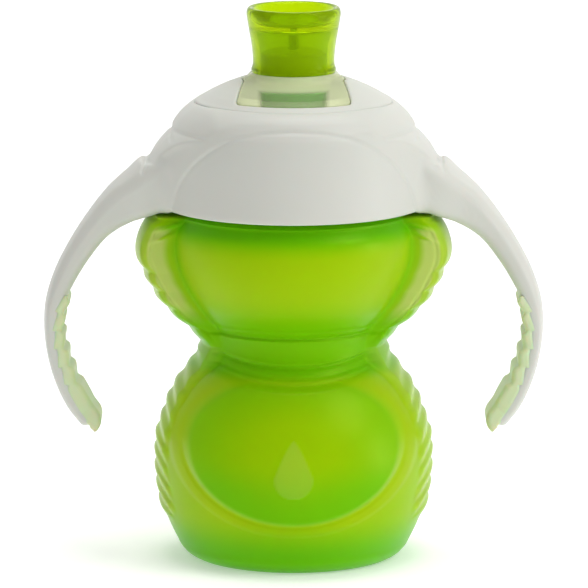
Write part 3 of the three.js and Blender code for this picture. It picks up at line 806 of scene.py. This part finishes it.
# ------------------------------------------------------------------ spout
base_profile = profile_distance(rounded([
    (0.9, 132.3, 0.2), (TUBE_R, 132.3, 0.6), (TUBE_R, TIP_Z - GAP, 0.1),
    (SPOUT_NECK_R, TIP_Z - GAP, 0.4), (SPOUT_NECK_R, 120.4, 0.1), (22.6, 118.0, 0),
    # down and back again: this keeps the flange's edge from being rounded
    (FLANGE_R, 117.3, 0.3), (FLANGE_R, 116.0, 0), (FLANGE_R, 117.3, 0),
    (22.4, 117.2, 0.3), (12.6, 120.6, 0.4), (10.4, 120.0, 0.3),
    (10.4, SOCKET_EDGE_Z, 0.3), (9.1, SOCKET_EDGE_Z, 0.3), (9.1, 122.0, 0.1), (9.7, 122.8, 0.1),
    (9.7, 125.4, 0.2), (TUBE_R, 125.4, 0.2), (TUBE_R, 122.6, 0.2), (7.4, 122.6, 0.2),
    (7.4, 131.1, 0.4), (0.9, 131.1, 0.2)]))


def spout_base_distance(x, y, z):
    """Tube, neck, flange under the crown, and the boss that fills the crown's opening."""
    r = np.hypot(x, y)
    body = base_profile(r, z)
    to_centre = np.hypot(r, z - CROWN_CENTRE_Z)
    flange = np.maximum(np.abs(to_centre - (CROWN_SPHERE_R - 2.4)) - 0.6,
                        np.maximum(r - FLANGE_R, 10.2 - r))
    window = opening_distance(x, y) + 0.12
    boss = np.maximum(np.maximum(window, to_centre - (CROWN_SPHERE_R - 0.15)),
                      np.maximum(CROWN_SPHERE_R - 2.6 - to_centre, 10.0 - r))
    neck_outer = np.maximum(r - SPOUT_NECK_R, np.maximum(z - TIP_Z + GAP, 10.0 - r))
    neck_outer = np.maximum(neck_outer, 118 - z)
    flare = smooth_min(boss, neck_outer, 3.0)
    flare = np.maximum(flare, window)
    # thick root that joins the neck to the inside of the boss
    root = np.maximum(np.maximum(r - 15.5, 118.4 - z), to_centre - (CROWN_SPHERE_R - 2.2))
    boss_and_root = np.maximum(np.minimum(flare, root), 9.75 - r)
    return np.minimum(np.minimum(body, flange), boss_and_root)


clear_base = surface_net("clear_spout_base", spout_base_distance, (-24.6, -24.6, 114.4),
                         (24.6, 24.6, 133.6), 0.27)


def milkiness(x, y, z):
    """0 in the clear window over the valve, 1 elsewhere."""
    return np.maximum(ramp(np.abs(x), 7.6, 9.6), ramp(z, 123.4, 124.4))


paint(clear_base, "milkiness", milkiness)
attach(clear_base, "spout")
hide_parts("spout_base")

tip_outline = refined(rounded([
    (9.6, TIP_Z, 0), (10.7, TIP_Z, 0.3), (11.1, TIP_Z + 0.9, 0.6), (10.65, 128.7, 0.6),
    (10.55, 130.2, 1.0), (10.65, 131.8, 1.0), (10.9, 134.3, 1.5), (11.4, 137.0, 1.5),
    (11.9, 139.9, 1.5), (12.3, 142.6, 0.9), (11.75, RIM_Z, 0.8), (10.6, RIM_Z - 0.2, 0.8),
    (9.3, 141.9, 1.2), (8.2, 140.4, 1.0), (6.6, 139.5, 0.8), (1.3, 139.2, 0.4),
    (0.7, 138.9, 0.3), (0.7, 132.9, 0.2), (1.45, 132.9, 0.2), (1.45, 138.0, 0.4),
    (6.6, 138.2, 0.8), (8.4, 138.9, 0.9), (9.7, 138.5, 0.8), (9.6, 136.4, 1.0),
    (9.0, 134.0, 1.0), (8.8, 131.5, 0.8), (8.8, TIP_Z, 0.2), (9.6, TIP_Z, 0)]), 0.35)[:-1]
tip = turned("spout_mouthpiece", tip_outline, 192)
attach(tip, "spout")
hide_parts("spout_tip")


# ------------------------------------------------------------------ materials
def material(name, **settings):
    """A new material with its shader's sockets set: Subsurface_Weight sets Subsurface Weight."""
    mat = bpy.data.materials.new(name)
    mat.use_nodes = True
    shader = mat.node_tree.nodes["Principled BSDF"]
    for socket, value in settings.items():
        shader.inputs[socket.replace("_", " ")].default_value = value
    return mat, mat.node_tree, shader


def noise(tree, scale, detail=3.0):
    """A noise pattern fixed to the object."""
    place = tree.nodes.new("ShaderNodeTexCoord")
    node = tree.nodes.new("ShaderNodeTexNoise")
    node.inputs["Scale"].default_value = scale
    node.inputs["Detail"].default_value = detail
    tree.links.new(place.outputs["Object"], node.inputs["Vector"])
    return node.outputs["Fac"]


def span(tree, value, low, high):
    """A value from 0 to 1, scaled to run from low to high."""
    node = tree.nodes.new("ShaderNodeMapRange")
    node.inputs["To Min"].default_value = low
    node.inputs["To Max"].default_value = high
    tree.links.new(value, node.inputs["Value"])
    return node.outputs["Result"]


def colour_mix(tree, value, high):
    """Input and output of a node that mixes its input with the colour high."""
    node = tree.nodes.new("ShaderNodeMix")
    node.data_type = "RGBA"
    node.inputs[7].default_value = (*high, 1)
    tree.links.new(value, node.inputs[0])
    return node.inputs[6], node.outputs[2]


def two_colours(tree, value, low, high):
    """The colour low where the value is 0, high where it is 1."""
    start, mixed = colour_mix(tree, value, high)
    start.default_value = (*low, 1)
    return mixed


def bump(tree, shader, value, strength, depth):
    """Raises the shaded surface by a pattern."""
    node = tree.nodes.new("ShaderNodeBump")
    node.inputs["Strength"].default_value = strength
    node.inputs["Distance"].default_value = depth
    tree.links.new(value, node.inputs["Height"])
    tree.links.new(node.outputs["Normal"], shader.inputs["Normal"])


def worn(name, low, high, rough, grain=900.0, dent=0.00004, **settings):
    """A moulded surface: two close colours in a soft pattern, uneven gloss and a fine grain."""
    mat, tree, shader = material(name, **settings)
    tint = span(tree, noise(tree, 55.0, 3.0), 0.0, 1.0)
    tree.links.new(two_colours(tree, tint, low, high), shader.inputs["Base Color"])
    tree.links.new(span(tree, noise(tree, 120.0, 4.0), *rough), shader.inputs["Roughness"])
    bump(tree, shader, noise(tree, grain, 3.0), 0.25, dent)
    return mat


def painted(tree, layer, low, high):
    """A number stored on the mesh by paint, scaled to run from low to high."""
    number = tree.nodes.new("ShaderNodeAttribute")
    number.attribute_name = layer
    return span(tree, number.outputs["Fac"], low, high)


def blended_in(mat, layer, colour):
    """Mixes a colour into the base colour by a number stored on the mesh."""
    tree = mat.node_tree
    shader = tree.nodes["Principled BSDF"]
    source = shader.inputs["Base Color"].links[0].from_socket
    start, mixed = colour_mix(tree, painted(tree, layer, 0.0, 1.0), colour)
    tree.links.new(source, start)
    tree.links.new(mixed, shader.inputs["Base Color"])


def seen_through(mat, layer, low, high):
    """Sets how solid a material looks by a number stored on the mesh."""
    tree = mat.node_tree
    tree.links.new(painted(tree, layer, low, high), tree.nodes["Principled BSDF"].inputs["Alpha"])


# the white's slight yellow-green cast is a painted reflection of the green cup
white = worn("satin_white_plastic", (0.60, 0.605, 0.55), (0.63, 0.635, 0.585), (0.36, 0.46),
             Subsurface_Weight=0.1, Subsurface_Scale=0.003, Specular_IOR_Level=0.35)
green = worn("frosted_green_plastic", (0.44, 0.75, 0.0005), (0.48, 0.78, 0.001), (0.285, 0.35),
             grain=260.0, dent=0.00002, Transmission_Weight=0.4, IOR=1.35,
             Subsurface_Weight=0.15, Subsurface_Scale=0.002,
             Specular_IOR_Level=0.6, Specular_Tint=(0.85, 1.0, 0.1, 1))
# painted glow: a yellower green where light gathers inside the wall
blended_in(green, "painted_glow", (0.54, 0.75, 0.0005))
# painted shade: a deeper green mixed in where the cup lies in shade
blended_in(green, "painted_green_shade", (0.18, 0.70, 0.0004))
blended_in(green, "frosting", (0.72, 0.86, 0.22))
tip_green = worn("green_silicone", (0.50, 0.73, 0.0005), (0.55, 0.76, 0.001), (0.07, 0.12),
                 grain=260.0, dent=0.00001, Transmission_Weight=0.76, IOR=1.28,
                 Specular_IOR_Level=0.4, Specular_Tint=(0.85, 1.0, 0.1, 1))
clear = worn("clear_silicone", (0.93, 0.98, 0.60), (0.95, 0.99, 0.65), (0.12, 0.2),
             grain=260.0, dent=0.00001, IOR=1.35, Specular_IOR_Level=0.4)
seen_through(clear, "milkiness", 0.14, 0.52)
pad_green = worn("soft_pad_green", (0.60, 0.69, 0.41), (0.65, 0.73, 0.47), (0.38, 0.50),
                 Subsurface_Weight=0.5, Subsurface_Scale=0.003, Specular_IOR_Level=0.3)
valve_green = worn("valve_silicone", (0.14, 0.80, 0.03), (0.18, 0.85, 0.05), (0.40, 0.52),
                   Subsurface_Weight=0.3, Subsurface_Scale=0.002)
ring_white = worn("gasket_silicone", (0.80, 0.80, 0.77), (0.85, 0.85, 0.82), (0.45, 0.6),
                  Subsurface_Weight=0.3, Subsurface_Scale=0.002)
for obj, mat in ((cup, green), (gasket, ring_white), (valve, valve_green), (crown, white),
                 (collar, white), (clear_base, clear), (tip, tip_green),
                 *((grip, pad_green) for grip in grips)):
    obj.data.materials.clear()
    obj.data.materials.append(mat)

# ------------------------------------------------------------------ floor, light, camera
FLOOR_HALF_WIDTH = 3.2
FLOOR_NEAR_Y, BEND_Y = -2.6, 1.4  # the flat floor's near edge, and where it starts to rise
BEND_R = 0.8
WALL_TOP_Z = 3.4


def sweep():
    """A pale floor that curves up into a wall behind, in metres."""
    profile = [(FLOOR_NEAR_Y, 0.0), (BEND_Y, 0.0)]
    profile += [(BEND_Y + BEND_R * math.sin(a), BEND_R - BEND_R * math.cos(a))
                for a in np.linspace(0.1, math.pi / 2, 14)]
    profile += [(BEND_Y + BEND_R, WALL_TOP_Z)]
    verts = np.array([(x, y, z) for y, z in profile for x in (-FLOOR_HALF_WIDTH, FLOOR_HALF_WIDTH)])
    n = len(profile) - 1
    faces = np.array([(2 * k, 2 * k + 1, 2 * k + 3, 2 * k + 2) for k in range(n)])
    return mesh_object("studio_floor", verts / MM, [faces])


floor = sweep()
floor_mat, _, floor_shader = material("pale_floor", Roughness=0.85)
floor_shader.inputs["Base Color"].default_value = (0.93, 0.93, 0.93, 1)
floor_shader.inputs["Emission Color"].default_value = (1, 1, 1, 1)
floor_shader.inputs["Emission Strength"].default_value = 0.3
floor.data.materials.append(floor_mat)


def area_light(name, at, aim, size, watts):
    """A white round lamp at a place in metres, turned towards aim."""
    lamp = bpy.data.lights.new(name, "AREA")
    lamp.shape = "DISK"
    lamp.size = size
    lamp.energy = watts
    obj = bpy.data.objects.new(name, lamp)
    obj.location = at
    obj.rotation_euler = (Vector(aim) - Vector(at)).to_track_quat("-Z", "Y").to_euler()
    bpy.context.scene.collection.objects.link(obj)


AIM = (0, 0, 0.07)
area_light("key", (0.85, -0.5, 0.9), AIM, 0.7, 4.2)
area_light("side", (1.3, -0.35, 0.22), AIM, 0.5, 2.3)
area_light("overhead", (0.1, 0.1, 1.8), AIM, 1.4, 17.0)
world = bpy.data.worlds.new("studio")
world.use_nodes = True
world.node_tree.nodes["Background"].inputs["Color"].default_value = (1, 1, 1, 1)
world.node_tree.nodes["Background"].inputs["Strength"].default_value = 0.40
bpy.context.scene.world = world
bpy.context.scene.view_settings.view_transform = "Standard"

SENSOR_WIDTH = 36.0
CAMERA_DISTANCE = 1.6
CAMERA_ELEVATION = math.radians(10.3)
FRAME_WIDTH = 0.1529  # width seen at the target's distance
TARGET = Vector((0.0001, 0, 0.0686))
camera_data = bpy.data.cameras.new("camera")
camera = bpy.data.objects.new("camera", camera_data)
camera.location = TARGET + CAMERA_DISTANCE * Vector(
    (0, -math.cos(CAMERA_ELEVATION), math.sin(CAMERA_ELEVATION)))
camera.rotation_euler = (TARGET - camera.location).to_track_quat("-Z", "Y").to_euler()
camera_data.sensor_width = SENSOR_WIDTH
camera_data.lens = SENSOR_WIDTH * CAMERA_DISTANCE / FRAME_WIDTH
camera_data.clip_end = 30.0
bpy.context.scene.collection.objects.link(camera)
bpy.context.scene.camera = camera
